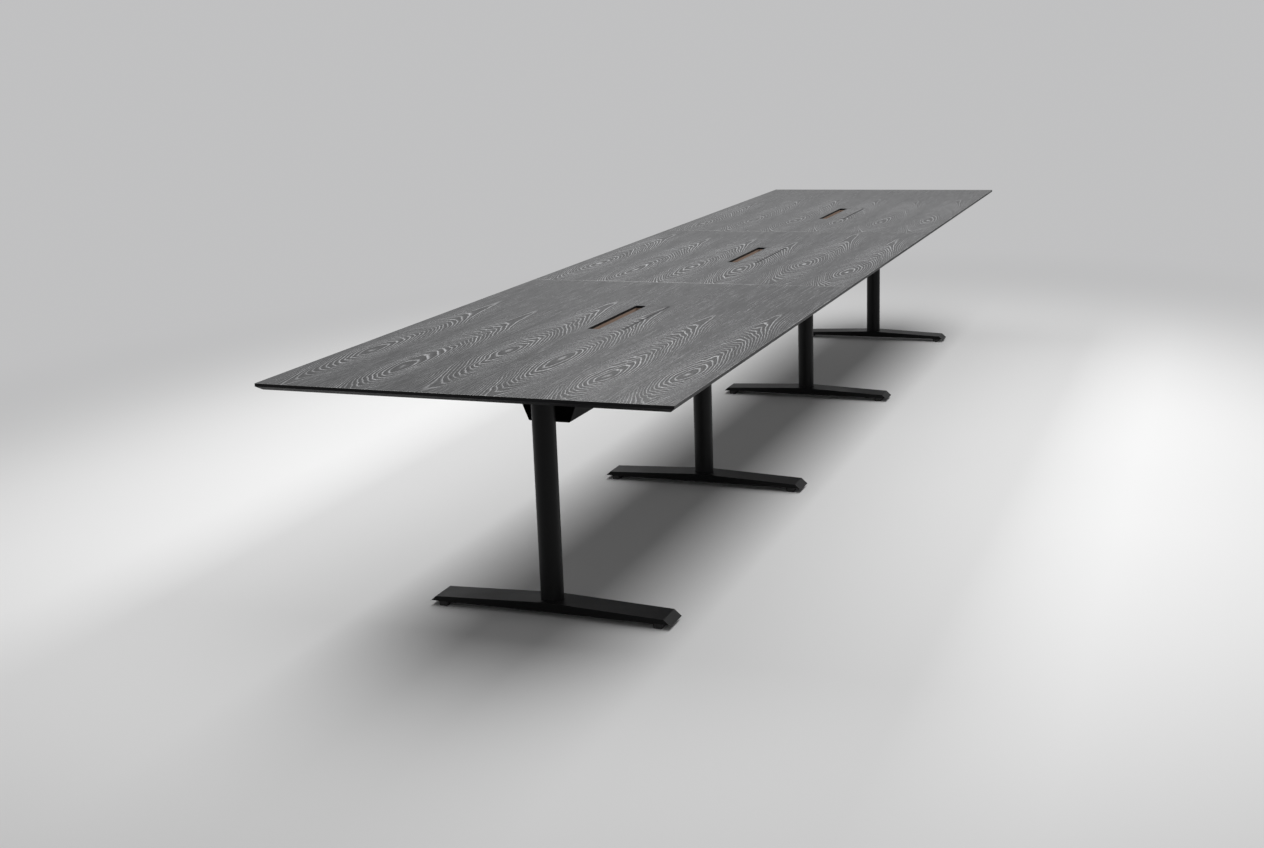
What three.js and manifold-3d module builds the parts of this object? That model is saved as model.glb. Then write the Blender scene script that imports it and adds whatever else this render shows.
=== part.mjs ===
// Conference table: three wood-faced top panels in a row on four round columns with low feet.
// Each panel has a cable flap beside a cable slot, and folded sheet troughs hang below them.
// Millimetres. X runs along the table, Y across it, Z up from the floor. The origin lies on the
// floor under the middle of the top.

import * as THREE from 'three';
import * as BufferGeometryUtils from 'three/addons/utils/BufferGeometryUtils.js';
import Module from 'manifold-3d';

const wasm = await Module();
wasm.setup();

// Top
const TOP_LENGTH = 5100;
const TOP_WIDTH = 1200;
const TOP_HEIGHT = 745;
const TOP_THICKNESS = 20;
const EDGE_HEIGHT = 9;
const EDGE_UNDERCUT = 15;
const SEAM_FROM_MIDDLE = 730;
const SEAM_GAP = 0.6;

// Legs, trough and flaps share one line, a little to one side of the top's middle
const LEG_LINE_Y = -52;
const END_LEG_FROM_MIDDLE = 2120;
const SEAT_GAP = 0.3;
const CUT_PAST = 10;

// Cable flaps
const OPENING_LENGTH = 420;
const OPENING_WIDTH = 120;
const CABLE_SLOT_WIDTH = 36;
const FLAP_END_GAP = 2;
const FLAP_HINGE_GAP = 2;
const FLAP_NOSE_RADIUS = 6;
const PIN_DIAMETER = 5;
const PIN_DEPTH = 12;
const REST_LENGTH = 50;
const REST_WIDTH = 40;
const REST_THICKNESS = 3;
const REST_UNDER_FLAP = 16;
const REST_FROM_SLOT = 4;
const REST_CORNER = 8;

// Cable trough
const TROUGH_BOTTOM_Z = 562;
const TROUGH_BOTTOM_WIDTH = 126;
const TROUGH_MOUTH_WIDTH = 254;
const TROUGH_FLANGE = 24;
const TROUGH_SHEET = 2;
const TROUGH_END_GAP = 3;

// Columns and the arms on top of them
const COLUMN_DIAMETER = 68;
const COLUMN_WALL = 3;
const COLUMN_PLUG = 14;
const ARM_LENGTH = 640;
const ARM_WIDTH = 60;
const ARM_THICKNESS = 8;
const ARM_CORNER = 14;

// Feet
const FOOT_LENGTH = 760;
const FOOT_WIDTH = 92;
const FOOT_UNDERSIDE_Z = 16;
const FOOT_TIP_Z = 11;
const FOOT_RIDGE_Z = 45;
const FOOT_END_Z = 30;
const FOOT_NOSE = 6;
const FOOT_CHAMFER = 22;
const SOCKET_DEPTH = 8;
const PAD_LENGTH = 28;
const PAD_WIDTH = 84;
const PAD_FROM_TIP = 42;
const PAD_CORNER = 5;

// Bolts between feet and columns
const BOLT_DIAMETER = 10;
const BOLT_HEAD_DIAMETER = 16;
const BOLT_HEAD_HEIGHT = 10;
const BOLT_IN_COLUMN = 11;
const BOLT_KEY = 8;
const BOLT_KEY_DEPTH = 5;
const BOLT_CLEARANCE = 0.5;
const BOLT_SUNK = 1;

const UNDERSIDE_Z = TOP_HEIGHT - TOP_THICKNESS;
const COLUMN_RADIUS = COLUMN_DIAMETER / 2;
const TROUGH_FROM_LEG = Math.max(COLUMN_RADIUS, ARM_WIDTH / 2) + TROUGH_END_GAP;
const COLUMN_BOTTOM_Z = FOOT_RIDGE_Z - SOCKET_DEPTH;
const ARM_TOP_Z = UNDERSIDE_Z - SEAT_GAP;
const ARM_BOTTOM_Z = ARM_TOP_Z - ARM_THICKNESS;
const OPENING_HINGE_Y = LEG_LINE_Y - OPENING_WIDTH / 2;
const OPENING_SLOT_Y = LEG_LINE_Y + OPENING_WIDTH / 2;
const FLAP_SLOT_Y = OPENING_SLOT_Y - CABLE_SLOT_WIDTH;
const PIN_Y = OPENING_HINGE_Y + FLAP_HINGE_GAP + FLAP_NOSE_RADIUS;
const PIN_Z = TOP_HEIGHT - FLAP_NOSE_RADIUS;
const PIN_HOLE_RADIUS = PIN_DIAMETER / 2 + SEAT_GAP;
const BOLT_SHOULDER_Z = FOOT_UNDERSIDE_Z + BOLT_HEAD_HEIGHT + BOLT_SUNK;
const ROUND = 48;
const SMALL_ROUND = 20;
const ARC_STEPS = 6;

const legX = [-END_LEG_FROM_MIDDLE, -SEAM_FROM_MIDDLE, SEAM_FROM_MIDDLE, END_LEG_FROM_MIDDLE];
const bayNames = ['near', 'middle', 'far'];

const woodFace = new THREE.MeshStandardMaterial({ color: 0x5f5f63, roughness: 0.45, metalness: 0 });
const blackPaint = new THREE.MeshStandardMaterial({ color: 0x1b1c1d, roughness: 0.5, metalness: 0.3 });
const steel = new THREE.MeshStandardMaterial({ color: 0x8d9094, roughness: 0.35, metalness: 1 });
const pad = new THREE.MeshStandardMaterial({ color: 0x0d0d0e, roughness: 0.8, metalness: 0 });

const table = new THREE.Group();

// One named piece of the table with a material of its own.
function addPiece(name, geometry, material) {
  const mesh = new THREE.Mesh(geometry, material.clone());
  mesh.name = name;
  table.add(mesh);
  return mesh;
}

// A three.js geometry as a solid that can be cut and joined.
function toSolid(geometry) {
  const bare = geometry.clone();
  bare.deleteAttribute('normal');
  bare.deleteAttribute('uv');
  const merged = BufferGeometryUtils.mergeVertices(bare, 1e-4);
  const vertProperties = new Float32Array(merged.attributes.position.array);
  const triVerts = new Uint32Array(merged.index.array);
  return new wasm.Manifold(new wasm.Mesh({ numProp: 3, vertProperties, triVerts }));
}

// A solid back as a three.js geometry.
function toGeometry(solid) {
  const mesh = solid.getMesh();
  const geometry = new THREE.BufferGeometry();
  const positions = new Float32Array(mesh.vertProperties);
  geometry.setAttribute('position', new THREE.BufferAttribute(positions, 3));
  geometry.setIndex(new THREE.BufferAttribute(new Uint32Array(mesh.triVerts), 1));
  geometry.computeVertexNormals();
  return geometry;
}

// The first geometry with all the others cut out of it.
function cut(body, tools) {
  let solid = toSolid(body);
  for (const tool of tools) {
    solid = solid.subtract(toSolid(tool));
  }
  return toGeometry(solid);
}

function box(x0, x1, y0, y1, z0, z1) {
  const geometry = new THREE.BoxGeometry(x1 - x0, y1 - y0, z1 - z0);
  geometry.translate((x0 + x1) / 2, (y0 + y1) / 2, (z0 + z1) / 2);
  return geometry;
}

// An outline in Y and Z, drawn along X from x0 to x1.
function alongX(outline, x0, x1) {
  const options = { depth: x1 - x0, bevelEnabled: false, curveSegments: ARC_STEPS };
  const geometry = new THREE.ExtrudeGeometry(outline, options);
  geometry.applyMatrix4(new THREE.Matrix4().set(0, 0, 1, x0, 1, 0, 0, 0, 0, 1, 0, 0, 0, 0, 0, 1));
  return geometry;
}

// A cylinder along X.
function rodX(radius, x0, x1, y, z) {
  const geometry = new THREE.CylinderGeometry(radius, radius, x1 - x0, SMALL_ROUND);
  geometry.rotateZ(Math.PI / 2);
  geometry.translate((x0 + x1) / 2, y, z);
  return geometry;
}

// A cylinder along Z.
function rodZ(radius, x, y, z0, z1, sides) {
  const geometry = new THREE.CylinderGeometry(radius, radius, z1 - z0, sides);
  geometry.rotateX(Math.PI / 2);
  geometry.translate(x, y, (z0 + z1) / 2);
  return geometry;
}

// A closed profile of radius and height, turned about a vertical axis.
function turned(profile, x, y, sides) {
  const points = profile.map(([radius, z]) => new THREE.Vector2(radius, z));
  const geometry = new THREE.LatheGeometry(points, sides);
  geometry.rotateX(Math.PI / 2);
  geometry.translate(x, y, 0);
  return geometry;
}

function outlineOf(points) {
  return new THREE.Shape(points.map(([u, v]) => new THREE.Vector2(u, v)));
}

// A flat plate with rounded corners.
function plate(x0, x1, y0, y1, z0, z1, corner) {
  const shape = new THREE.Shape();
  shape.moveTo(x0 + corner, y0);
  shape.lineTo(x1 - corner, y0);
  shape.absarc(x1 - corner, y0 + corner, corner, -Math.PI / 2, 0, false);
  shape.lineTo(x1, y1 - corner);
  shape.absarc(x1 - corner, y1 - corner, corner, 0, Math.PI / 2, false);
  shape.lineTo(x0 + corner, y1);
  shape.absarc(x0 + corner, y1 - corner, corner, Math.PI / 2, Math.PI, false);
  shape.lineTo(x0, y0 + corner);
  shape.absarc(x0 + corner, y0 + corner, corner, Math.PI, Math.PI * 1.5, false);
  const options = { depth: z1 - z0, bevelEnabled: false, curveSegments: ARC_STEPS };
  const geometry = new THREE.ExtrudeGeometry(shape, options);
  geometry.translate(0, 0, z0);
  return geometry;
}

// A board with upright edges above and, on its outer sides, edges cut back to the underside.
function board(x0, x1, undercutLow, undercutHigh) {
  const half = TOP_WIDTH / 2;
  const edgeZ = TOP_HEIGHT - EDGE_HEIGHT;
  const rings = [
    [x0 + undercutLow, x1 - undercutHigh, half - EDGE_UNDERCUT, UNDERSIDE_Z],
    [x0, x1, half, edgeZ],
    [x0, x1, half, TOP_HEIGHT],
  ];
  const positions = [];
  for (const [low, high, side, z] of rings) {
    positions.push(low, -side, z, high, -side, z, high, side, z, low, side, z);
  }
  const index = [0, 2, 1, 0, 3, 2];
  for (let ring = 0; ring < rings.length - 1; ring += 1) {
    for (let corner = 0; corner < 4; corner += 1) {
      const a = ring * 4 + corner;
      const b = ring * 4 + (corner + 1) % 4;
      index.push(a, b, b + 4, a, b + 4, a + 4);
    }
  }
  const last = (rings.length - 1) * 4;
  index.push(last, last + 1, last + 2, last, last + 2, last + 3);
  const geometry = new THREE.BufferGeometry();
  geometry.setAttribute('position', new THREE.Float32BufferAttribute(positions, 3));
  geometry.setIndex(index);
  geometry.computeVertexNormals();
  return geometry;
}

// Flap outline: square at the cable slot, rounded over the hinge pin so that it can turn.
function flapOutline() {
  const shape = new THREE.Shape();
  shape.moveTo(PIN_Y - FLAP_NOSE_RADIUS, UNDERSIDE_Z);
  shape.lineTo(FLAP_SLOT_Y, UNDERSIDE_Z);
  shape.lineTo(FLAP_SLOT_Y, TOP_HEIGHT);
  shape.lineTo(PIN_Y, TOP_HEIGHT);
  shape.absarc(PIN_Y, PIN_Z, FLAP_NOSE_RADIUS, Math.PI / 2, Math.PI, false);
  return shape;
}

// Trough outline: one sheet folded into a flat bottom, two leaning sides and two flanges.
function troughOutline() {
  const topZ = UNDERSIDE_Z - SEAT_GAP;
  const bottom = TROUGH_BOTTOM_WIDTH / 2;
  const mouth = TROUGH_MOUTH_WIDTH / 2;
  const lean = (mouth - bottom) / (topZ - TROUGH_BOTTOM_Z);
  const across = TROUGH_SHEET * Math.sqrt(1 + lean * lean);
  const rim = mouth + TROUGH_FLANGE;
  const half = [
    [bottom + lean * TROUGH_SHEET - across, TROUGH_BOTTOM_Z + TROUGH_SHEET],
    [mouth - across, topZ],
    [rim, topZ],
    [rim, topZ - TROUGH_SHEET],
    [mouth - lean * TROUGH_SHEET, topZ - TROUGH_SHEET],
    [bottom, TROUGH_BOTTOM_Z],
  ];
  const right = half.map(([y, z]) => [LEG_LINE_Y + y, z]);
  const left = half.map(([y, z]) => [LEG_LINE_Y - y, z]).reverse();
  return outlineOf([...left, ...right].reverse());
}

// Foot outline: flat below, rising to a ridge under the column, with ends chamfered to a low nose.
function footOutline() {
  const tip = FOOT_LENGTH / 2;
  const shoulder = tip - FOOT_CHAMFER;
  const points = [
    [FOOT_NOSE - tip, FOOT_UNDERSIDE_Z],
    [tip - FOOT_NOSE, FOOT_UNDERSIDE_Z],
    [tip, FOOT_TIP_Z],
    [shoulder, FOOT_END_Z],
    [0, FOOT_RIDGE_Z],
    [-shoulder, FOOT_END_Z],
    [-tip, FOOT_TIP_Z],
  ];
  return outlineOf(points.map(([y, z]) => [LEG_LINE_Y + y, z]));
}

// Top panels with their flaps, and the troughs below, one set for each bay between legs
const panelEnds = [-TOP_LENGTH / 2, -SEAM_FROM_MIDDLE, SEAM_FROM_MIDDLE, TOP_LENGTH / 2];
bayNames.forEach((bay, i) => {
  const first = i === 0;
  const last = i === bayNames.length - 1;
  const x0 = panelEnds[i] + (first ? 0 : SEAM_GAP / 2);
  const x1 = panelEnds[i + 1] - (last ? 0 : SEAM_GAP / 2);
  const middleX = (legX[i] + legX[i + 1]) / 2;
  const openLow = middleX - OPENING_LENGTH / 2;
  const openHigh = middleX + OPENING_LENGTH / 2;
  const flapLow = openLow + FLAP_END_GAP;
  const flapHigh = openHigh - FLAP_END_GAP;
  const bore = PIN_DEPTH + SEAT_GAP;

  const panel = board(x0, x1, first ? EDGE_UNDERCUT : 0, last ? EDGE_UNDERCUT : 0);
  const openZ = [UNDERSIDE_Z - CUT_PAST, TOP_HEIGHT + CUT_PAST];
  const opening = box(openLow, openHigh, OPENING_HINGE_Y, OPENING_SLOT_Y, ...openZ);
  const panelBores = rodX(PIN_HOLE_RADIUS, openLow - bore, openHigh + bore, PIN_Y, PIN_Z);
  addPiece(`top_${bay}`, cut(panel, [opening, panelBores]), woodFace);

  const lowBore = rodX(PIN_HOLE_RADIUS, flapLow - CUT_PAST, flapLow + bore, PIN_Y, PIN_Z);
  const highBore = rodX(PIN_HOLE_RADIUS, flapHigh - bore, flapHigh + CUT_PAST, PIN_Y, PIN_Z);
  addPiece(`flap_${bay}`, cut(alongX(flapOutline(), flapLow, flapHigh), [lowBore, highBore]), woodFace);

  for (const [end, side] of [['a', 1], ['b', -1]]) {
    const gapMiddle = middleX - side * (OPENING_LENGTH - FLAP_END_GAP) / 2;
    const reach = FLAP_END_GAP / 2 + PIN_DEPTH;
    const pin = rodX(PIN_DIAMETER / 2, gapMiddle - reach, gapMiddle + reach, PIN_Y, PIN_Z);
    addPiece(`flap_pin_${bay}_${end}`, pin, steel);

    const inner = gapMiddle + side * (FLAP_END_GAP / 2 + REST_UNDER_FLAP);
    const outer = inner - side * REST_LENGTH;
    const restHigh = FLAP_SLOT_Y - REST_FROM_SLOT;
    const restTop = UNDERSIDE_Z - SEAT_GAP;
    const rest = plate(
      Math.min(inner, outer),
      Math.max(inner, outer),
      restHigh - REST_WIDTH,
      restHigh,
      restTop - REST_THICKNESS,
      restTop,
      REST_CORNER,
    );
    addPiece(`flap_rest_${bay}_${end}`, rest, blackPaint);
  }

  const trough = alongX(troughOutline(), legX[i] + TROUGH_FROM_LEG, legX[i + 1] - TROUGH_FROM_LEG);
  addPiece(`trough_${bay}`, trough, blackPaint);
});

// Four legs: arm, column, foot, bolt and two pads each
legX.forEach((x, i) => {
  const leg = i + 1;
  const arm = plate(
    x - ARM_WIDTH / 2,
    x + ARM_WIDTH / 2,
    LEG_LINE_Y - ARM_LENGTH / 2,
    LEG_LINE_Y + ARM_LENGTH / 2,
    ARM_BOTTOM_Z,
    ARM_TOP_Z,
    ARM_CORNER,
  );
  addPiece(`top_arm_${leg}`, arm, blackPaint);

  const tapped = BOLT_DIAMETER / 2 + SEAT_GAP;
  const columnTop = ARM_BOTTOM_Z - SEAT_GAP;
  const column = turned(
    [
      [tapped, COLUMN_BOTTOM_Z],
      [COLUMN_RADIUS, COLUMN_BOTTOM_Z],
      [COLUMN_RADIUS, columnTop],
      [COLUMN_RADIUS - COLUMN_WALL, columnTop],
      [COLUMN_RADIUS - COLUMN_WALL, COLUMN_BOTTOM_Z + COLUMN_PLUG],
      [tapped, COLUMN_BOTTOM_Z + COLUMN_PLUG],
      [tapped, COLUMN_BOTTOM_Z],
    ],
    x,
    LEG_LINE_Y,
    ROUND,
  );
  addPiece(`column_${leg}`, column, blackPaint);

  const footBody = alongX(footOutline(), x - FOOT_WIDTH / 2, x + FOOT_WIDTH / 2);
  const socketZ = COLUMN_BOTTOM_Z - SEAT_GAP;
  const socket = rodZ(COLUMN_RADIUS + SEAT_GAP, x, LEG_LINE_Y, socketZ, FOOT_RIDGE_Z + CUT_PAST, ROUND);
  const hole = rodZ(BOLT_DIAMETER / 2 + BOLT_CLEARANCE, x, LEG_LINE_Y, 0, FOOT_RIDGE_Z, SMALL_ROUND);
  const headHoleRadius = BOLT_HEAD_DIAMETER / 2 + BOLT_CLEARANCE;
  const headHole = rodZ(headHoleRadius, x, LEG_LINE_Y, 0, BOLT_SHOULDER_Z, SMALL_ROUND);
  addPiece(`foot_${leg}`, cut(footBody, [socket, hole, headHole]), blackPaint);

  const shoulder = BOLT_SHOULDER_Z - SEAT_GAP;
  const headBottom = shoulder - BOLT_HEAD_HEIGHT;
  const tip = COLUMN_BOTTOM_Z + BOLT_IN_COLUMN;
  const boltBody = turned(
    [
      [0, headBottom],
      [BOLT_HEAD_DIAMETER / 2, headBottom],
      [BOLT_HEAD_DIAMETER / 2, shoulder],
      [BOLT_DIAMETER / 2, shoulder],
      [BOLT_DIAMETER / 2, tip],
      [0, tip],
    ],
    x,
    LEG_LINE_Y,
    SMALL_ROUND,
  );
  const keyZ = [headBottom - CUT_PAST, headBottom + BOLT_KEY_DEPTH];
  const key = rodZ(BOLT_KEY / Math.sqrt(3), x, LEG_LINE_Y, ...keyZ, 6);
  addPiece(`foot_bolt_${leg}`, cut(boltBody, [key]), steel);

  for (const [sideName, side] of [['left', 1], ['right', -1]]) {
    const padY = LEG_LINE_Y + side * (FOOT_LENGTH / 2 - PAD_FROM_TIP);
    const block = plate(
      x - PAD_WIDTH / 2,
      x + PAD_WIDTH / 2,
      padY - PAD_LENGTH / 2,
      padY + PAD_LENGTH / 2,
      0,
      FOOT_UNDERSIDE_Z - SEAT_GAP,
      PAD_CORNER,
    );
    addPiece(`foot_pad_${leg}_${sideName}`, block, pad);
  }
});

export default table;
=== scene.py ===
import math

import bmesh
import bpy
from mathutils import Matrix, Vector


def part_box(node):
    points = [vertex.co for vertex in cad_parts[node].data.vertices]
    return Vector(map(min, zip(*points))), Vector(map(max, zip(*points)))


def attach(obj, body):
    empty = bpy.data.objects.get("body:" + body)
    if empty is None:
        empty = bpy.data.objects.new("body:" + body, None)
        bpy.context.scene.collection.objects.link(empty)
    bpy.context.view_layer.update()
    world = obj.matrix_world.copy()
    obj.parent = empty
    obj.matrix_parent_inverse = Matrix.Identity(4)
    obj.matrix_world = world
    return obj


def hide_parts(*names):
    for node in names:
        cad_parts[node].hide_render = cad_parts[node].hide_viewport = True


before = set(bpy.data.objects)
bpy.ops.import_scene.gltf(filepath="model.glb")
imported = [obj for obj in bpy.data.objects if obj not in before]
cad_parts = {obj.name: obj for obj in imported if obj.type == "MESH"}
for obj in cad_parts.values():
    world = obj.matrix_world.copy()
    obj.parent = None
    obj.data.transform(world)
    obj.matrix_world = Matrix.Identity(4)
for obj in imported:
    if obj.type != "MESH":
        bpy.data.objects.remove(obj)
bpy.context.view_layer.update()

# Sizes in metres, and the steps of round shapes. All other sizes are read from the frame's nodes.
EDGE_HEIGHT = 0.009
UNDERCUT = 0.015
ARRIS = 0.0007
SEAM_ARRIS = 0.0016
ARRIS_STEPS = 3
BLACK_LAYER = 0.008
CORE_LAYER = 0.0023
FLAP_END_GAP = 0.002
FLAP_HINGE_GAP = 0.002
FLAP_NOSE_STEPS = 10
SLOT_WIDTH = 0.036
PIN_GAP = 0.0003
PIN_SIDES = 32
STEEL_EDGE = 0.0004
SHEET = 0.002
SHEET_EDGE = 0.0003
TROUGH_FLANGE = 0.024
TROUGH_BOTTOM = 0.126
TROUGH_BEND = 0.004
TROUGH_BEND_STEPS = 6
COLUMN_WALL = 0.003
COLUMN_RIM = 0.0008
COLUMN_WELD = 0.0022
COLUMN_SIDES = 128
FOOT_EDGE = 0.0016
PLATE_EDGE = 0.0008
PAD_EDGE = 0.0018

# Faces: degrees from which an edge stays sharp, and the upward part of a normal on a flap's face and back
SHARP_ANGLE = 34.0
FLAP_TOP_NORMAL = 0.98
FLAP_BACK_NORMAL = -0.9

# Screws, with the head's profile and the cross as shares of its radius and height
SCREW_RADIUS = 0.0042
SCREW_HEIGHT = 0.0024
SCREW_SIDES = 28
SCREW_PROFILE = ((1.0, 0.0), (1.0, 0.30), (0.93, 0.62), (0.76, 0.86), (0.50, 0.97))
SCREW_TURN = 0.9
SCREW_FIRST_TURN = 0.3
CROSS_WIDTH = 0.0011
CROSS_REACH = 0.62
CROSS_BOTTOM = 0.45
CROSS_PASS = 1.5
TRAY_SCREWS = 5
TRAY_SCREW_MARGIN = 0.06
ARM_SCREWS_INWARD = (0.024, 0.130)
ARM_SCREWS_ASIDE = 0.30

# Figure of the veneer: leaf width, the eye's place from a panel's start, the arches before and behind it
LEAF = 0.205
LEAVES_ASIDE = 3
EYE = 0.40
AHEAD = 0.78
BEHIND = 0.46
AHEAD_CLIMB = 0.092
BEHIND_CLIMB = 0.058
STEADY_CLIMB = 0.030
HEART_ROUND = 0.034
RING = 0.0066
FIRST_SEED = 11.0
SEED_STEP = 4.3
FLAP_TONE = 0.94

# Colours, some as (place, colour) stops
GRAIN_DARK = (0.0130, 0.0132, 0.0140)
GRAIN_LIGHT = (0.46, 0.464, 0.473)
LACQUER = ((0.30, (0.0035, 0.0035, 0.0040)), (0.72, (0.0085, 0.0085, 0.0092)))
BROWN_BOARD = ((0.28, (0.20, 0.134, 0.100)), (0.55, (0.37, 0.262, 0.200)), (0.75, (0.49, 0.365, 0.288)))
BACK_SHEET = ((0.30, (0.020, 0.0195, 0.019)), (0.70, (0.052, 0.050, 0.048)))
PAINT_LOW = (0.0036, 0.0037, 0.0039)
PAINT_HIGH = (0.0074, 0.0075, 0.0079)
DUST = (0.13, 0.13, 0.132)
PLATING = ((0.3, (0.36, 0.365, 0.37)), (0.7, (0.58, 0.585, 0.59)))

# Camera, solved from the picture's straight edges
CAMERA_PLACE = Vector((-6.0277, -1.8584, 1.6221))
CAMERA_YAW = math.radians(21.504)
CAMERA_PITCH = math.radians(13.951)
CAMERA_ROLL = math.radians(2.054)
PICTURE_WIDTH = 1264
FOCAL_PIXELS = 1568.86
SENSOR = 36.0

# Studio
BACKDROP = (0.53, 0.53, 0.535)
FILL = 0.25
STRIP_LENGTH = 6.4
STRIP_WIDTH = 1.1
STRIP_ALONG = 0.1
STRIP_ASIDE = 1.4
STRIP_HEIGHT = 2.75
STRIP_POWER = 99.0
FLOOR_REACH = 40.0
FLOOR_DROP = 0.0005
FADE_SCALE = (0.62, 1.0, 1.0)
FADE_SHIFT = (1.24, 0.0, 0.0)
FLOOR_FADE = (2.3, 4.8)

BAYS = ("near", "middle", "far")
LEGS = (1, 2, 3, 4)


# Node helpers

class Tree:
    """A material's or world's node tree with short ways to add nodes."""

    def __init__(self, owner):
        owner.use_nodes = True
        self.nodes = owner.node_tree.nodes
        self.links = owner.node_tree.links
        self.nodes.clear()

    def add(self, kind, inputs=None, **settings):
        node = self.nodes.new(kind)
        for key, value in settings.items():
            setattr(node, key, value)
        for key, value in (inputs or {}).items():
            self.put(node.inputs[key], value)
        return node

    def put(self, socket, value):
        """Links another socket to this one, or sets its constant."""
        if isinstance(value, bpy.types.NodeSocket):
            self.links.new(value, socket)
        else:
            socket.default_value = value

    def math(self, operation, a, b=None, c=None):
        node = self.add("ShaderNodeMath", operation=operation)
        for socket, value in zip(node.inputs, (a, b, c)):
            if value is not None:
                self.put(socket, value)
        return node.outputs[0]

    def span(self, value, low, high, out_low=0.0, out_high=1.0, smooth=False):
        """A value carried from one range to another and held at the ends."""
        kind = "SMOOTHSTEP" if smooth else "LINEAR"
        node = self.add("ShaderNodeMapRange", interpolation_type=kind)
        for key, given in (
            ("Value", value),
            ("From Min", low),
            ("From Max", high),
            ("To Min", out_low),
            ("To Max", out_high),
        ):
            self.put(node.inputs[key], given)
        return node.outputs["Result"]

    def place(self):
        """The object's own coordinates."""
        return self.add("ShaderNodeTexCoord").outputs["Object"]

    def scaled(self, vector, scale, shift=(0, 0, 0)):
        node = self.add("ShaderNodeMapping", {"Vector": vector, "Scale": scale, "Location": shift})
        return node.outputs["Vector"]

    def split(self, vector):
        return self.add("ShaderNodeSeparateXYZ", {"Vector": vector}).outputs

    def join(self, x, y, z):
        return self.add("ShaderNodeCombineXYZ", {"X": x, "Y": y, "Z": z}).outputs[0]

    def noise(self, vector, detail=2.0, rough=0.5):
        inputs = {"Vector": vector, "Scale": 1.0, "Detail": detail, "Roughness": rough}
        node = self.add("ShaderNodeTexNoise", inputs)
        return node.outputs["Fac"]

    def dice(self, value):
        """A steady number from 0 to 1 that looks random, for each whole value."""
        node = self.add("ShaderNodeTexWhiteNoise", noise_dimensions="1D")
        self.put(node.inputs["W"], value)
        return node.outputs["Value"]

    def ramp(self, value, stops):
        """A colour read from (place, colour) stops."""
        node = self.add("ShaderNodeValToRGB", {"Fac": value})
        line = node.color_ramp.elements
        while len(line) > 1:
            line.remove(line[-1])
        for index, (place, colour) in enumerate(stops):
            stop = line[0] if index == 0 else line.new(place)
            stop.position = place
            stop.color = (*colour, 1.0)
        return node.outputs["Color"]

    def mix(self, share, a, b, way="MIX"):
        node = self.add("ShaderNodeMix", data_type="RGBA", blend_type=way)
        for socket, value in zip((node.inputs[0], node.inputs[6], node.inputs[7]), (share, a, b)):
            self.put(socket, value)
        return node.outputs[2]

    def seen(self):
        """1 on rays that show a surface, straight or in gloss or glass, and 0 on all others."""
        path = self.add("ShaderNodeLightPath").outputs
        mirrored = self.math("MAXIMUM", path["Is Glossy Ray"], path["Is Transmission Ray"])
        return self.math("MAXIMUM", path["Is Camera Ray"], mirrored)

    def bump(self, height, distance, strength=1.0):
        node = self.add("ShaderNodeBump", {"Height": height, "Distance": distance, "Strength": strength})
        return node.outputs["Normal"]


def material(name):
    """A new material with its node tree and its shader's inputs."""
    made = bpy.data.materials.new(name)
    tree = Tree(made)
    shader = tree.add("ShaderNodeBsdfPrincipled")
    tree.add("ShaderNodeOutputMaterial", {"Surface": shader.outputs[0]})
    return made, tree, shader.inputs


def grey(value):
    return (value, value, value)


# Materials

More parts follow.
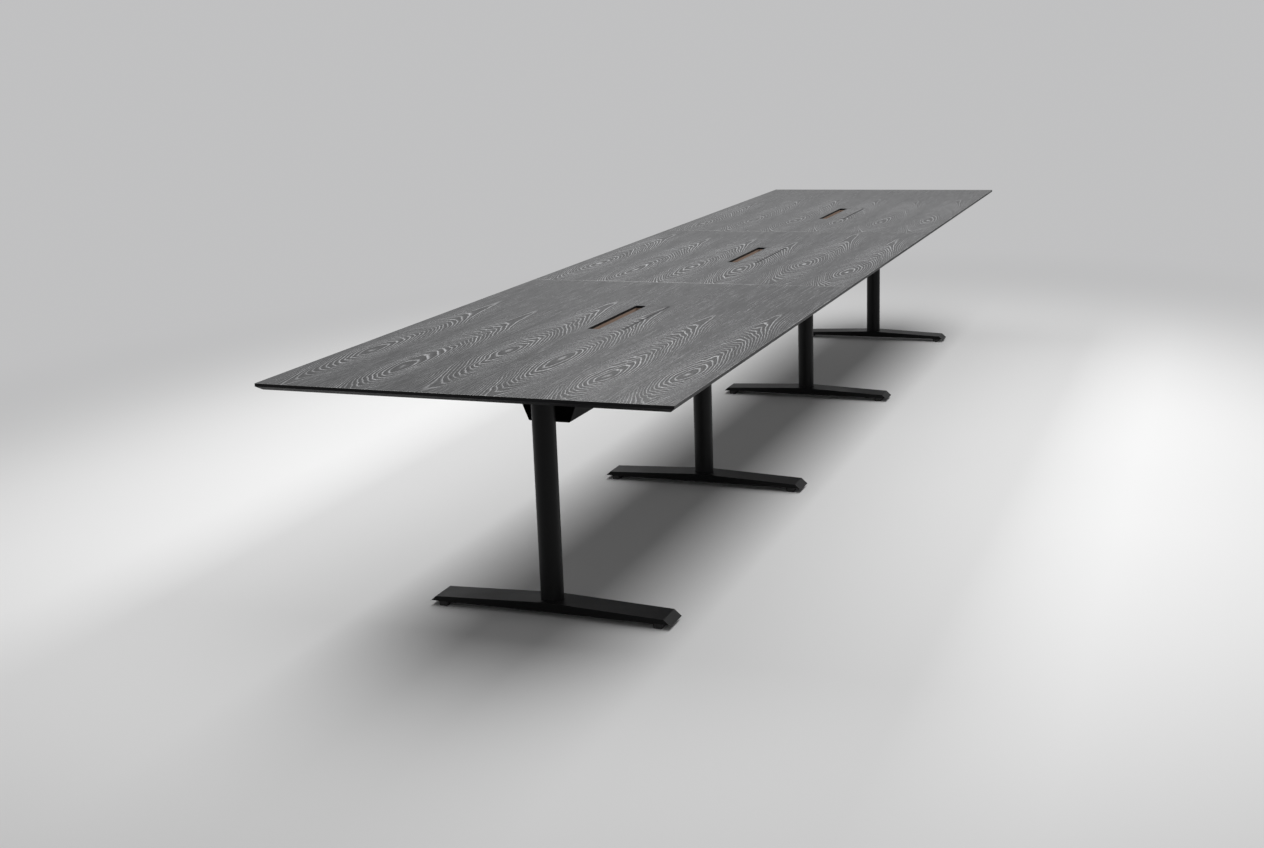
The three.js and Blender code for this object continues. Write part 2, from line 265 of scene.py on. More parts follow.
def wood(name, start, seed, tone=1.0):
    """Dark stained veneer: slip-matched crown-cut leaves with silvery open grain under satin lacquer."""
    made, t, inputs = material(name)
    x, y, _ = t.split(t.place())
    along = t.math("SUBTRACT", x, start)
    leaf_place = t.math("ADD", t.math("DIVIDE", y, LEAF), LEAVES_ASIDE)
    leaf = t.math("FLOOR", leaf_place)
    leaf_dice = t.dice(t.math("ADD", leaf, seed * 1.37 + 0.5))
    side = t.math("MULTIPLY", t.math("SUBTRACT", t.math("FRACT", leaf_place), 0.5), LEAF)
    depth = t.math("MULTIPLY_ADD", leaf, 0.33, seed)

    def grain(run, across, shift, detail):
        far = t.math("MULTIPLY", along, run)
        wide = t.math("MULTIPLY", side, across)
        deep = t.math("ADD", depth, shift)
        return t.noise(t.join(far, wide, deep), detail=detail)

    slow = t.math("SUBTRACT", grain(1.4, 5.0, 0.0, 2.0), 0.5)
    middle = t.math("SUBTRACT", grain(4.0, 24.0, 3.7, 2.0), 0.5)
    fine = t.math("SUBTRACT", grain(15.0, 160.0, 9.1, 3.0), 0.5)
    patch = grain(2.2, 9.0, 2.3, 3.0)
    pore = t.span(grain(46.0, 820.0, 5.2, 2.0), 0.42, 0.66)
    fleck = t.span(grain(8.0, 300.0, 7.4, 3.0), 0.44, 0.68)

    # Growth rings cut by the leaf: long ovals round an eye, drawn out into arches at both ends
    across = t.math("MULTIPLY_ADD", slow, 0.040, side)
    across = t.math("MULTIPLY_ADD", middle, 0.010, across)
    spine = t.math("SQRT", t.math("MULTIPLY_ADD", across, across, HEART_ROUND ** 2))
    run = t.math("ADD", along, t.math("MULTIPLY_ADD", leaf_dice, 0.34, -0.17))
    run = t.math("MULTIPLY_ADD", slow, 0.30, run)
    run = t.math("MULTIPLY_ADD", middle, 0.12, run)
    past_eye = t.math("SUBTRACT", run, EYE)
    ahead = t.span(past_eye, 0.0, AHEAD, 0.0, AHEAD_CLIMB, smooth=True)
    behind = t.span(past_eye, -BEHIND, 0.0, BEHIND_CLIMB, 0.0, smooth=True)
    climb = t.math("ADD", ahead, behind)
    climb = t.math("MULTIPLY_ADD", t.math("ABSOLUTE", past_eye), STEADY_CLIMB, climb)
    ring = t.math("DIVIDE", t.math("ADD", spine, climb), RING)
    ring = t.math("MULTIPLY_ADD", fine, 0.26, ring)
    ring = t.math("MULTIPLY_ADD", middle, 0.60, ring)
    ring_dice = t.dice(t.math("ADD", t.math("FLOOR", ring), seed * 3.1))
    stripe = t.ramp(
        t.math("FRACT", ring),
        (
            (0.0, grey(0.0)),
            (0.06, grey(1.0)),
            (0.19, grey(0.88)),
            (0.33, grey(0.14)),
            (0.70, grey(0.0)),
        ),
    )

    inside = t.span(t.math("ABSOLUTE", across), 0.035, 0.095, 1.0, 0.0, smooth=True)
    inside = t.math("MULTIPLY", inside, t.span(run, -0.16, 0.10, smooth=True))
    inside = t.math("MULTIPLY", inside, t.span(run, 1.05, 1.40, 1.0, 0.0, smooth=True))
    strong = t.math("MULTIPLY_ADD", inside, 0.80, 0.20)
    strong = t.math("MULTIPLY", t.span(ring_dice, 0.0, 1.0, 0.50, 1.0), strong)
    lines = t.math("MULTIPLY", stripe, strong)
    lines = t.math("MULTIPLY", lines, t.math("MULTIPLY_ADD", pore, 0.80, 0.42))
    straight = t.math("MULTIPLY", fleck, t.math("MULTIPLY_ADD", pore, 0.65, 0.35))
    straight = t.math("MULTIPLY", straight, t.math("MULTIPLY_ADD", inside, -0.22, 0.34))
    light = t.math("MAXIMUM", lines, straight)

    smoke = t.math("MULTIPLY_ADD", inside, -0.45, 1.0)
    smoke = t.math("MULTIPLY", t.span(patch, 0.30, 0.72, 0.70, 1.25), smoke)
    leaf_tone = t.math("MULTIPLY_ADD", leaf_dice, 0.20, 0.90)
    shade = t.math("MULTIPLY", t.math("MULTIPLY", smoke, leaf_tone), tone)
    ground = t.add("ShaderNodeVectorMath", {0: GRAIN_DARK}, operation="SCALE")
    t.put(ground.inputs["Scale"], shade)
    colour = t.mix(light, ground.outputs[0], (*GRAIN_LIGHT, 1.0))
    t.put(inputs["Base Color"], colour)
    t.put(inputs["Roughness"], t.math("MULTIPLY_ADD", light, 0.20, t.span(patch, 0.2, 0.8, 0.19, 0.26)))
    inputs["Specular IOR Level"].default_value = 0.060
    t.put(inputs["Normal"], t.bump(t.math("SUBTRACT", 1.0, light), 0.00012, 0.5))
    return made


def black_edge():
    """Black lacquered edge with faint lengthways brushing."""
    made, t, inputs = material("black_edge_lacquer")
    place = t.place()
    brush = t.noise(t.scaled(place, (14.0, 14.0, 900.0)), detail=3.0)
    cloud = t.noise(t.scaled(place, (7.0, 7.0, 60.0)), detail=3.0)
    streak = t.math("MULTIPLY_ADD", brush, 0.6, t.math("MULTIPLY", cloud, 0.4))
    t.put(inputs["Base Color"], t.ramp(streak, LACQUER))
    t.put(inputs["Roughness"], t.span(cloud, 0.3, 0.7, 0.34, 0.46))
    inputs["Specular IOR Level"].default_value = 0.12
    t.put(inputs["Normal"], t.bump(brush, 0.00006, 0.5))
    return made


def arris_highlight_and_wear():
    """Arris round a panel's face: pale colour that is a painted highlight along the edge, where the stain
    is also rubbed thin in places.
    """
    made, t, inputs = material("arris_highlight_and_wear")
    place = t.place()
    sheen_and_wear = t.noise(t.scaled(place, (3.0, 3.4, 3.0)), detail=3.0, rough=0.6)
    fibre = t.noise(t.scaled(place, (40.0, 420.0, 40.0)), detail=3.0)
    thin = t.math("MULTIPLY_ADD", fibre, 0.4, t.math("MULTIPLY", sheen_and_wear, 0.6))
    # The pale greys paint the highlight on the arris; some of them stand for stain rubbed thin.
    colour = t.ramp(thin, ((0.38, grey(0.04)), (0.52, grey(0.18)), (0.66, grey(0.42))))
    t.put(inputs["Base Color"], colour)
    t.put(inputs["Roughness"], t.span(sheen_and_wear, 0.3, 0.7, 0.30, 0.44))
    t.put(inputs["Normal"], t.bump(fibre, 0.00008, 0.5))
    return made


def core():
    """Warm brown board below the black face layer: pressed layers with short fibres."""
    made, t, inputs = material("brown_core")
    place = t.place()
    height = t.split(place)[2]
    layer = t.math("FRACT", t.math("DIVIDE", height, CORE_LAYER))
    layer = t.ramp(layer, ((0.0, grey(0.35)), (0.14, grey(1.0)), (0.80, grey(0.86)), (1.0, grey(0.40))))
    fibre = t.noise(t.scaled(place, (140.0, 140.0, 1500.0)), detail=4.0, rough=0.6)
    speck = t.noise(t.scaled(place, grey(900.0)), detail=2.0)
    chips = t.math("MULTIPLY_ADD", speck, 0.35, t.math("MULTIPLY", fibre, 0.65))
    t.put(inputs["Base Color"], t.mix(0.55, t.ramp(chips, BROWN_BOARD), layer, "MULTIPLY"))
    t.put(inputs["Roughness"], t.span(fibre, 0.3, 0.7, 0.62, 0.80))
    t.put(inputs["Normal"], t.bump(fibre, 0.0002, 0.5))
    return made


def backing():
    """Dark balancing sheet on the underside of the boards."""
    made, t, inputs = material("backing_sheet")
    place = t.place()
    grain = t.noise(t.scaled(place, (5.0, 260.0, 20.0)), detail=4.0, rough=0.6)
    cloud = t.noise(t.scaled(place, (2.5, 6.0, 1.0)), detail=3.0)
    tone = t.math("MULTIPLY_ADD", grain, 0.7, t.math("MULTIPLY", cloud, 0.3))
    t.put(inputs["Base Color"], t.ramp(tone, BACK_SHEET))
    t.put(inputs["Roughness"], t.span(grain, 0.3, 0.7, 0.50, 0.66))
    t.put(inputs["Normal"], t.bump(grain, 0.0001, 0.4))
    return made


def powder_coat(name, dark, gloss):
    """Satin black powder coat: fine orange peel, gloss patches, a little dust on faces that look up."""
    made, t, inputs = material(name)
    place = t.place()
    peel = t.noise(t.scaled(place, grey(620.0)), detail=2.0)
    grit = t.noise(t.scaled(place, grey(2400.0)), detail=1.0)
    cloud = t.noise(t.scaled(place, grey(5.0)), detail=4.0, rough=0.6)
    facing = t.split(t.add("ShaderNodeNewGeometry").outputs["Normal"])[2]
    dust = t.math("MULTIPLY", t.span(facing, 0.55, 1.0), t.span(cloud, 0.35, 0.75, 0.25, 1.0))
    low = [part * dark for part in PAINT_LOW]
    high = [part * dark for part in PAINT_HIGH]
    tone = t.math("MULTIPLY_ADD", grit, 0.35, t.math("MULTIPLY", cloud, 0.65))
    paint = t.ramp(tone, ((0.3, low), (0.7, high)))
    t.put(inputs["Base Color"], t.mix(t.math("MULTIPLY", dust, 0.11), paint, (*DUST, 1.0)))
    t.put(inputs["Roughness"], t.span(cloud, 0.25, 0.75, 0.38, 0.52))
    inputs["Specular IOR Level"].default_value = gloss
    t.put(inputs["Normal"], t.bump(t.math("MULTIPLY_ADD", grit, 0.3, peel), 0.00009, 0.6))
    return made


def zinc(name):
    """Zinc-plated steel with turning marks and dull patches."""
    made, t, inputs = material(name)
    place = t.place()
    turned = t.noise(t.scaled(place, (160.0, 160.0, 2600.0)), detail=3.0)
    cloud = t.noise(t.scaled(place, grey(130.0)), detail=3.0)
    t.put(inputs["Base Color"], t.ramp(cloud, PLATING))
    inputs["Metallic"].default_value = 1.0
    t.put(inputs["Roughness"], t.math("MULTIPLY_ADD", turned, 0.18, t.span(cloud, 0.3, 0.7, 0.22, 0.36)))
    t.put(inputs["Normal"], t.bump(turned, 0.00004, 0.5))
    return made


def rubber():
    """Matt black moulded foot pads."""
    made, t, inputs = material("pad_rubber")
    place = t.place()
    grain = t.noise(t.scaled(place, grey(1100.0)), detail=2.0)
    cloud = t.noise(t.scaled(place, grey(45.0)), detail=3.0)
    colour = t.ramp(cloud, ((0.3, grey(0.0085)), (0.7, grey(0.0180))))
    t.put(inputs["Base Color"], colour)
    t.put(inputs["Roughness"], t.span(grain, 0.3, 0.7, 0.66, 0.86))
    t.put(inputs["Normal"], t.bump(grain, 0.00012, 0.5))
    return made


def studio_floor():
    """Pale matt floor that runs out into the backdrop's colour and is clear when seen from below."""
    made, t, inputs = material("studio_floor")
    place = t.place()
    cloud = t.noise(t.scaled(place, grey(0.35)), detail=2.0)
    colour = t.ramp(cloud, ((0.3, grey(0.76)), (0.7, grey(0.79))))
    t.put(inputs["Base Color"], colour)
    t.put(inputs["Roughness"], t.span(cloud, 0.3, 0.7, 0.72, 0.82))
    inputs["Specular IOR Level"].default_value = 0.2
    reach = t.scaled(place, FADE_SCALE, FADE_SHIFT)
    far = t.add("ShaderNodeVectorMath", {0: reach}, operation="LENGTH").outputs["Value"]
    fade = t.math("MULTIPLY", t.span(far, *FLOOR_FADE, smooth=True), t.seen())
    glow = t.add("ShaderNodeEmission", {"Color": (*BACKDROP, 1.0), "Strength": 1.0}).outputs[0]
    lit = t.nodes["Principled BSDF"].outputs[0]
    floor_end = t.add("ShaderNodeMixShader", {0: fade, 1: lit, 2: glow}).outputs[0]
    straight = t.add("ShaderNodeLightPath").outputs["Is Camera Ray"]
    under = t.math("MULTIPLY", t.add("ShaderNodeNewGeometry").outputs["Backfacing"], straight)
    clear = t.add("ShaderNodeBsdfTransparent").outputs[0]
    whole = t.add("ShaderNodeMixShader", {0: under, 1: floor_end, 2: clear}).outputs[0]
    t.put(t.nodes["Material Output"].inputs["Surface"], whole)
    return made


# Mesh helpers

def piece(name, shape, materials, body, replaced):
    """Turns a bmesh into an object that rides a body and stands for the named nodes."""
    bmesh.ops.recalc_face_normals(shape, faces=shape.faces)
    mesh = bpy.data.meshes.new(name)
    shape.to_mesh(mesh)
    shape.free()
    for one in materials:
        mesh.materials.append(one)
    mesh.polygons.foreach_set("use_smooth", [True] * len(mesh.polygons))
    mesh.set_sharp_from_angle(angle=math.radians(SHARP_ANGLE))
    made = bpy.data.objects.new(name, mesh)
    bpy.context.scene.collection.objects.link(made)
    even = made.modifiers.new("even_shading", "WEIGHTED_NORMAL")
    even.keep_sharp = True
    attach(made, body)
    if replaced:
        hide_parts(*replaced)
    return made


def soften(shape, radius, segments=2, angle=28.0):
    """Rounds every edge that turns more sharply than the angle."""
    limit = math.radians(angle)
    edges = [e for e in shape.edges if len(e.link_faces) == 2 and e.calc_face_angle() > limit]
    bmesh.ops.bevel(
        shape,
        geom=edges,
        offset=radius,
        segments=segments,
        profile=0.5,
        affect="EDGES",
        clamp_overlap=True,
        material=-1,
    )
    return shape


def from_node(node):
    """The shape of a CAD node as a clean bmesh of its own."""
    shape = bmesh.new()
    shape.from_mesh(bpy.data.objects[node].data)
    bmesh.ops.remove_doubles(shape, verts=shape.verts, dist=1e-6)
    bmesh.ops.dissolve_limit(
        shape,
        angle_limit=math.radians(0.5),
        use_dissolve_boundaries=False,
        verts=shape.verts,
        edges=shape.edges,
    )
    return shape


def prism(outline, start, end, axis):
    """An outline of two coordinates carried along the axis named X or Z."""
    shape = bmesh.new()

    def point(a, b, along):
        return (along, a, b) if axis == "X" else (a, b, along)

    first = [shape.verts.new(point(a, b, start)) for a, b in outline]
    last = [shape.verts.new(point(a, b, end)) for a, b in outline]
    count = len(outline)
    for i in range(count):
        j = (i + 1) % count
        shape.faces.new((first[i], first[j], last[j], last[i]))
    shape.faces.new(first)
    shape.faces.new(last)
    return shape


def lathe(profile, centre, count):
    """A closed ring of (radius, height) points turned about an upright axis."""
    shape = bmesh.new()
    rings = []
    for i in range(count):
        a = 2 * math.pi * i / count
        rings.append(
            [
                shape.verts.new((centre[0] + r * math.cos(a), centre[1] + r * math.sin(a), z))
                for r, z in profile
            ]
        )
    steps = len(profile)
    for i in range(count):
        a, b = rings[i], rings[(i + 1) % count]
        for j in range(steps):
            k = (j + 1) % steps
            shape.faces.new((a[j], b[j], b[k], a[k]))
    return shape


def carve(shape, cutters, slots=1):
    """Takes the cutters' shapes out of a shape. Each face keeps its place among the material slots."""
    made = []
    for one in [shape, *cutters]:
        bmesh.ops.recalc_face_normals(one, faces=one.faces)
        mesh = bpy.data.meshes.new("carved")
        one.to_mesh(mesh)
        one.free()
        for _ in range(slots):
            mesh.materials.append(None)
        made.append(bpy.data.objects.new("carved", mesh))
        bpy.context.scene.collection.objects.link(made[-1])
    whole = made[0]
    for tool in made[1:]:
        step = whole.modifiers.new("cut", "BOOLEAN")
        step.operation = "DIFFERENCE"
        step.solver = "EXACT"
        step.object = tool
    bpy.context.view_layer.update()
    seen = whole.evaluated_get(bpy.context.evaluated_depsgraph_get())
    result = bmesh.new()
    result.from_mesh(seen.to_mesh())
    seen.to_mesh_clear()
    for one in made:
        mesh = one.data
        bpy.data.objects.remove(one)
        bpy.data.meshes.remove(mesh)
    return result


def quarter(radius, steps):
    """Inset and drop of points round a quarter circle from a flat top to an upright side."""
    for i in range(steps + 1):
        a = math.pi / 2 * i / steps
        yield radius * (1 - math.sin(a)), radius * (1 - math.cos(a))


# Table tops

BOARD_FINISHES = 5
WOOD, BLACK, BROWN, BACK, ARRIS_SHEEN_AND_WEAR = range(BOARD_FINISHES)


def rectangle_ring(shape, low_x, high_x, low_y, high_y, z):
    """Four corners of a level rectangle."""
    corners = ((low_x, low_y), (high_x, low_y), (high_x, high_y), (low_x, high_y))
    return [shape.verts.new((x, y, z)) for x, y in corners]


def band(shape, upper, lower, index):
    """Four faces between two rings of corners."""
    for i in range(4):
        j = (i + 1) % 4
        face = shape.faces.new((upper[i], upper[j], lower[j], lower[i]))
        face.material_index = index


def pin_bores(bay):
    """Round cutters for the bores that hold a flap's two pivot pins."""
    bores = []
    for side in "ab":
        low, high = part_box("flap_pin_" + bay + "_" + side)
        middle = (low + high) / 2
        radius = (high.z - low.z) / 2 + PIN_GAP
        turns = [2 * math.pi * i / PIN_SIDES for i in range(PIN_SIDES)]
        outline = [(middle.y + radius * math.cos(a), middle.z + radius * math.sin(a)) for a in turns]
        bore = prism(outline, low.x - PIN_GAP, high.x + PIN_GAP, "X")
        for face in bore.faces:
            face.material_index = BLACK
        bores.append(bore)
    return bores


def panel(bay, opening, wood_face):
    """A top panel: veneered face, black edge with an undercut, and the flap's opening."""
    low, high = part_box("top_" + bay)
    open_low, open_high = opening
    near_end = bay == BAYS[0]
    far_end = bay == BAYS[-1]
    round_low = ARRIS if near_end else SEAM_ARRIS
    round_high = ARRIS if far_end else SEAM_ARRIS
    shape = bmesh.new()

    outer = []
    for inset, drop in quarter(1.0, ARRIS_STEPS):
        outer.append(
            rectangle_ring(
                shape,
                low.x + inset * round_low,
                high.x - inset * round_high,
                low.y + inset * ARRIS,
                high.y - inset * ARRIS,
                high.z - drop * ARRIS,
            )
        )
    outer.append(rectangle_ring(shape, low.x, high.x, low.y, high.y, high.z - EDGE_HEIGHT))
    cut_low = UNDERCUT if near_end else 0.0
    cut_high = UNDERCUT if far_end else 0.0
    outer.append(
        rectangle_ring(
            shape,
            low.x + cut_low,
            high.x - cut_high,
            low.y + UNDERCUT,
            high.y - UNDERCUT,
            low.z,
        )
    )
    # The arris rings get the pale arris colour, a painted highlight with some wear.
    for upper, lower in zip(outer[:-2], outer[1:-2]):
        band(shape, upper, lower, ARRIS_SHEEN_AND_WEAR)
    for upper, lower in zip(outer[-3:], outer[-2:]):
        band(shape, upper, lower, BLACK)

    inner = []
    for inset, drop in quarter(1.0, ARRIS_STEPS):
        inner.append(
            rectangle_ring(
                shape,
                open_low.x - inset * ARRIS,
                open_high.x + inset * ARRIS,
                open_low.y - inset * ARRIS,
                open_high.y + inset * ARRIS,
                high.z - drop * ARRIS,
            )
        )
    for z in (high.z - BLACK_LAYER, low.z):
        inner.append(rectangle_ring(shape, open_low.x, open_high.x, open_low.y, open_high.y, z))
    for upper, lower in zip(inner[:-1], inner[1:-1]):
        band(shape, upper, lower, BLACK)
    band(shape, inner[-2], inner[-1], BROWN)

    band(shape, outer[0], inner[0], WOOD)
    band(shape, outer[-1], inner[-1], BACK)
    shape = carve(shape, pin_bores(bay), BOARD_FINISHES)
    return piece(
        "board_" + bay,
        shape,
        (wood_face, EDGE_PAINT, CORE, BACKING, ARRIS_HIGHLIGHT_AND_WEAR),
        "table",
        ("top_" + bay,),
    )


def flap(bay, wood_face):
    """A cable flap: round nose on its hinge side, square slot side, black upper layer over brown."""
    low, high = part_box("flap_" + bay)
    pin_low, pin_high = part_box("flap_pin_" + bay + "_a")
    nose = high.z - (pin_low.z + pin_high.z) / 2
    split = high.z - BLACK_LAYER
    outline = [(high.y, low.z), (high.y, high.z)]
    outline += [(low.y + inset, high.z - drop) for inset, drop in quarter(nose, FLAP_NOSE_STEPS)]
    outline.append((low.y, low.z))
    shape = prism(outline, low.x, high.x, "X")
    bmesh.ops.bisect_plane(
        shape,
        geom=shape.verts[:] + shape.edges[:] + shape.faces[:],
        plane_co=(0, 0, split),
        plane_no=(0, 0, 1),
        dist=1e-6,
    )
    bmesh.ops.recalc_face_normals(shape, faces=shape.faces)
    for face in shape.faces:
        centre = face.calc_center_median()
        if face.normal.z > FLAP_TOP_NORMAL:
            face.material_index = WOOD
        elif face.normal.z < FLAP_BACK_NORMAL:
            face.material_index = BACK
        else:
            face.material_index = BLACK if centre.z > split else BROWN
    soften(shape, ARRIS, angle=40.0)
    shape = carve(shape, pin_bores(bay), BOARD_FINISHES)
    return piece(
        "lid_" + bay,
        shape,
        (wood_face, EDGE_PAINT, CORE, BACKING),
        "flap_" + bay + "_body",
        ("flap_" + bay,),
    )


# Frame below the top

def filleted(points, radius, steps):
    """A bent line with round bends, as points with the line's left-hand normal."""

    def left_of(run):
        return Vector((-run.y, run.x))

    runs = [(b - a).normalized() for a, b in zip(points, points[1:])]
    bent = [(points[0], left_of(runs[0]))]
    for p, before, after in zip(points[1:], runs, runs[1:]):
        n0 = left_of(before)
        n1 = left_of(after)
        side = 1 if n0.dot(after) > 0 else -1
        back = radius * math.tan(before.angle(after) / 2)
        centre = p - before * back + n0 * radius * side
        for j in range(steps + 1):
            n = n0.lerp(n1, j / steps).normalized()
            bent.append((centre - n * radius * side, n))
    bent.append((points[-1], left_of(runs[-1])))
    return bent


def trough(bay):
    """A folded sheet trough with round bends and flanges that screw to the board."""
    low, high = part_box("trough_" + bay)
    middle = (low.y + high.y) / 2
    half_foot = TROUGH_BOTTOM / 2
    half_top = (high.y - low.y) / 2
    half_mouth = half_top - TROUGH_FLANGE
    top = high.z - SHEET / 2
    base = low.z + SHEET / 2
    line = [
        Vector((middle - half_top, top)),
        Vector((middle - half_mouth, top)),
        Vector((middle - half_foot, base)),
        Vector((middle + half_foot, base)),
        Vector((middle + half_mouth, top)),
        Vector((middle + half_top, top)),
    ]
    bent = filleted(line, TROUGH_BEND, TROUGH_BEND_STEPS)
    stations = (
        (low.x, SHEET_EDGE),
        (low.x + SHEET_EDGE, 0.0),
        (high.x - SHEET_EDGE, 0.0),
        (high.x, SHEET_EDGE),
    )
    shape = bmesh.new()
    rings = []
    for x, slim in stations:
        half = SHEET / 2 - slim
        upper = [p + n * half for p, n in bent]
        lower = [p - n * half for p, n in reversed(bent)]
        rings.append([shape.verts.new((x, p.x, p.y)) for p in upper + lower])
    total = len(rings[0])
    for a, b in zip(rings, rings[1:]):
        for i in range(total):
            j = (i + 1) % total
            shape.faces.new((a[i], a[j], b[j], b[i]))
    for ring in (rings[0], rings[-1]):
        for i in range(len(bent) - 1):
            shape.faces.new((ring[i], ring[i + 1], ring[total - 2 - i], ring[total - 1 - i]))
    return piece("tray_" + bay, shape, (TRAY_PAINT,), "table", ("trough_" + bay,))


def column(number):
    """A round tube with a softened lower rim and a thin weld bead under the arm."""
    node = "column_%d" % number
    low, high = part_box(node)
    radius = (high.x - low.x) / 2
    inside = radius - COLUMN_WALL
    profile = [
        (inside, low.z),
        (radius - COLUMN_RIM, low.z),
        (radius - COLUMN_RIM * 0.3, low.z + COLUMN_RIM * 0.3),
        (radius, low.z + COLUMN_RIM),
        (radius, high.z - COLUMN_WELD),
        (radius + COLUMN_WELD * 0.28, high.z - COLUMN_WELD * 0.62),
        (radius + COLUMN_WELD * 0.62, high.z - COLUMN_WELD * 0.28),
        (radius + COLUMN_WELD, high.z),
        (inside, high.z),
    ]
    shape = lathe(profile, (low + high) / 2, COLUMN_SIDES)
    return piece("post_%d" % number, shape, (COLUMN_PAINT,), "table", (node,))


def foot(number):
    """A low foot bar: shallow ridge, chamfered ends and softened edges."""
    node = "foot_%d" % number
    shape = soften(from_node(node), FOOT_EDGE, segments=3, angle=20.0)
    return piece("base_%d" % number, shape, (FOOT_PAINT,), "table", (node,))


def plate(node, name, paint, radius):
    """A plate or pad of the table with softened edges."""
    shape = soften(from_node(node), radius)
    return piece(name, shape, (paint,), "table", (node,))


def rod(node, name, finish, body):
    """A bolt or pin with lightly broken edges."""
    shape = soften(from_node(node), STEEL_EDGE, angle=40.0)
    return piece(name, shape, (finish,), body, (node,))


# Screws

def screw_head():
    """A low pan head that points down, with a cross recess, drawn at the origin."""
    shape = bmesh.new()
    turns = [2 * math.pi * i / SCREW_SIDES for i in range(SCREW_SIDES)]
    rings = []
    for share, depth in SCREW_PROFILE:
        radius = SCREW_RADIUS * share
        z = -SCREW_HEIGHT * depth
        rings.append([shape.verts.new((radius * math.cos(a), radius * math.sin(a), z)) for a in turns])
    for a, b in zip(rings, rings[1:]):
        for i in range(SCREW_SIDES):
            j = (i + 1) % SCREW_SIDES
            shape.faces.new((a[i], a[j], b[j], b[i]))
    shape.faces.new(rings[0])
    shape.faces.new(rings[-1])
    arm = CROSS_WIDTH / 2
    long = SCREW_RADIUS * CROSS_REACH
    cross = [
        (long, -arm),
        (long, arm),
        (arm, arm),
        (arm, long),
        (-arm, long),
        (-arm, arm),
        (-long, arm),
        (-long, -arm),
        (-arm, -arm),
        (-arm, -long),
        (arm, -long),
        (arm, -arm),
    ]
    return carve(shape, [prism(cross, -SCREW_HEIGHT * CROSS_BOTTOM, -SCREW_HEIGHT * CROSS_PASS, "Z")])


def screws(name, head, places):
    """One piece holding a screw head at each place, each turned a little differently."""
    shape = bmesh.new()
    for i, place in enumerate(places):
        copy = head.copy()
        turn = Matrix.Rotation(SCREW_TURN * i + SCREW_FIRST_TURN, 4, "Z")
        bmesh.ops.transform(copy, matrix=Matrix.Translation(place) @ turn, verts=copy.verts)
        spare = bpy.data.meshes.new("spare")
        copy.to_mesh(spare)
        copy.free()
        shape.from_mesh(spare)
        bpy.data.meshes.remove(spare)
    return piece(name, shape, (SCREW_ZINC,), "table", ())


def spread(low, high, margin, count):
    """Evenly spaced places from one margin to the other."""
    run = high - low - 2 * margin
    return [low + margin + run * i / (count - 1) for i in range(count)]


# Build

EDGE_PAINT = black_edge()
CORE = core()
# Pale arris colour: painted highlight, partly wear.
ARRIS_HIGHLIGHT_AND_WEAR = arris_highlight_and_wear()
BACKING = backing()
TRAY_PAINT = powder_coat("tray_powder_coat", 0.6, 0.05)
COLUMN_PAINT = powder_coat("column_powder_coat", 0.65, 0.16)
FOOT_PAINT = powder_coat("foot_powder_coat", 0.6, 0.14)
PLATE_PAINT = powder_coat("plate_powder_coat", 1.1, 0.16)
PAD_RUBBER = rubber()
BOLT_ZINC = zinc("bolt_zinc")
SCREW_ZINC = zinc("screw_zinc")
PIN_ZINC = zinc("pin_zinc")


def build_bay(bay, seed, head):
    """One bay: panel, flap with its pins and rests, trough and the trough's screws."""
    board_low, board_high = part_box("top_" + bay)
    flap_low, flap_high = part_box("flap_" + bay)
    opening = (
        Vector((flap_low.x - FLAP_END_GAP, flap_low.y - FLAP_HINGE_GAP, board_low.z)),
        Vector((flap_high.x + FLAP_END_GAP, flap_high.y + SLOT_WIDTH, board_high.z)),
    )
    panel(bay, opening, wood("veneer_" + bay, board_low.x, seed))
    flap(bay, wood("veneer_flap_" + bay, board_low.x, seed, FLAP_TONE))
    trough(bay)
    for side in "ab":
        ending = bay + "_" + side
        plate("flap_rest_" + ending, "rest_" + ending, PLATE_PAINT, PLATE_EDGE)
        rod("flap_pin_" + ending, "pivot_" + ending, PIN_ZINC, "flap_" + bay + "_body")
    tray_low, tray_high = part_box("trough_" + bay)
    places = []
    for y in (tray_low.y + TROUGH_FLANGE / 2, tray_high.y - TROUGH_FLANGE / 2):
        for x in spread(tray_low.x, tray_high.x, TRAY_SCREW_MARGIN, TRAY_SCREWS):
            places.append(Vector((x, y, tray_high.z - SHEET)))
    screws("screws_tray_" + bay, head, places)


def build_leg(number, head):
    """One leg: column, foot, bolt, pads, arm and the arm's screws."""
    column(number)
    foot(number)
    arm = "top_arm_%d" % number
    plate(arm, "arm_%d" % number, PLATE_PAINT, PLATE_EDGE)
    rod("foot_bolt_%d" % number, "screw_base_%d" % number, BOLT_ZINC, "table")
    for side in ("left", "right"):
        ending = "%d_%s" % (number, side)
        plate("foot_pad_" + ending, "pad_" + ending, PAD_RUBBER, PAD_EDGE)
    low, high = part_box(arm)
    middle = (low + high) / 2
    reach = (high.y - low.y) / 2
    aside = (high.x - low.x) * ARM_SCREWS_ASIDE
    places = []
    for across in (-1, 1):
        for inward in ARM_SCREWS_INWARD:
            for side in (-1, 1):
                y = middle.y + across * (reach - inward)
                places.append(Vector((middle.x + side * aside, y, low.z)))
    screws("screws_arm_%d" % number, head, places)


head = screw_head()
for order, bay in enumerate(BAYS):
    build_bay(bay, FIRST_SEED + SEED_STEP * order, head)
for number in LEGS:
    build_leg(number, head)
head.free()


# Studio

def stage_floor():
    """A wide floor just under the pads."""
    shape = bmesh.new()
    reach = FLOOR_REACH
    shape.faces.new(rectangle_ring(shape, -reach, reach, -reach, reach, -FLOOR_DROP))
    mesh = bpy.data.meshes.new("studio_floor")
    shape.to_mesh(mesh)
    shape.free()
    mesh.materials.append(studio_floor())
    made = bpy.data.objects.new("studio_floor", mesh)
    bpy.context.scene.collection.objects.link(made)


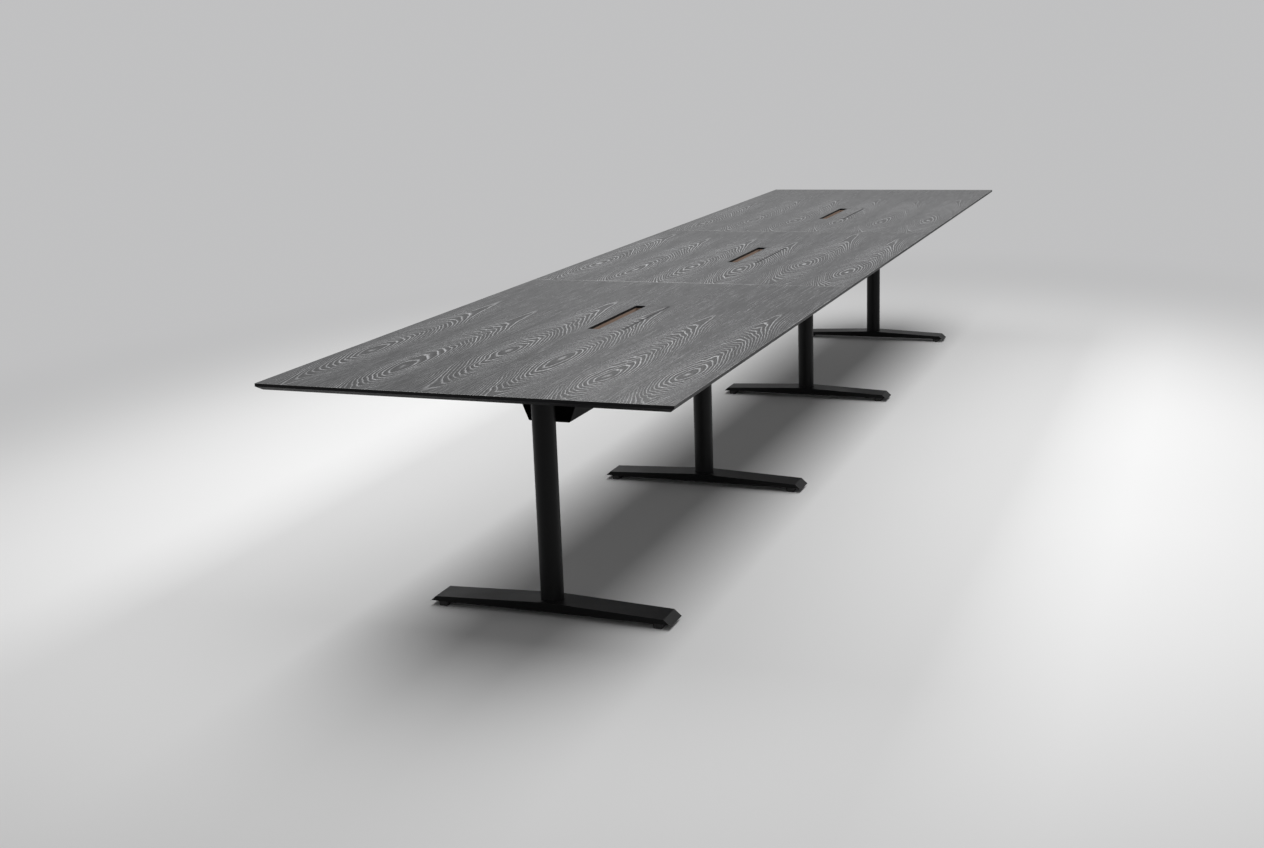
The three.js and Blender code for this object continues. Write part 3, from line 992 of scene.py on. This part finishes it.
def strip_lamp(name, aside):
    """A long soft lamp over the table that shines straight down."""
    light = bpy.data.lights.new(name, "AREA")
    light.shape = "RECTANGLE"
    light.size = STRIP_LENGTH
    light.size_y = STRIP_WIDTH
    light.energy = STRIP_POWER
    made = bpy.data.objects.new(name, light)
    made.location = (STRIP_ALONG, aside, STRIP_HEIGHT)
    made.visible_camera = False
    bpy.context.scene.collection.objects.link(made)


def studio_world():
    """An even soft fill, and the backdrop's colour wherever it is seen, straight or in a reflection."""
    world = bpy.data.worlds.new("studio")
    bpy.context.scene.world = world
    t = Tree(world)
    fill = t.add("ShaderNodeBackground", {"Color": (*grey(1.0), 1.0), "Strength": FILL})
    backdrop = t.add("ShaderNodeBackground", {"Color": (*BACKDROP, 1.0), "Strength": 1.0})
    choose = t.add("ShaderNodeMixShader", {0: t.seen(), 1: fill.outputs[0], 2: backdrop.outputs[0]})
    t.add("ShaderNodeOutputWorld", {"Surface": choose.outputs[0]})


def camera():
    """The picture's camera, turned by its yaw, pitch and roll."""
    view = bpy.data.cameras.new("picture_camera")
    view.sensor_width = SENSOR
    view.lens = FOCAL_PIXELS * SENSOR / PICTURE_WIDTH
    view.dof.use_dof = False
    view.clip_start = 0.05
    view.clip_end = 200.0
    made = bpy.data.objects.new("picture_camera", view)
    forward = Vector(
        (
            math.cos(CAMERA_PITCH) * math.cos(CAMERA_YAW),
            math.cos(CAMERA_PITCH) * math.sin(CAMERA_YAW),
            -math.sin(CAMERA_PITCH),
        )
    )
    right = Vector((math.sin(CAMERA_YAW), -math.cos(CAMERA_YAW), 0.0))
    down = forward.cross(right)
    rolled_right = right * math.cos(CAMERA_ROLL) + down * math.sin(CAMERA_ROLL)
    rolled_down = down * math.cos(CAMERA_ROLL) - right * math.sin(CAMERA_ROLL)
    turn = Matrix((rolled_right, -rolled_down, -forward)).transposed()
    made.matrix_world = Matrix.Translation(CAMERA_PLACE) @ turn.to_4x4()
    bpy.context.scene.collection.objects.link(made)
    bpy.context.scene.camera = made


stage_floor()
studio_world()
strip_lamp("strip_right", -STRIP_ASIDE)
strip_lamp("strip_left", STRIP_ASIDE)
camera()
bpy.context.scene.view_settings.view_transform = "Standard"
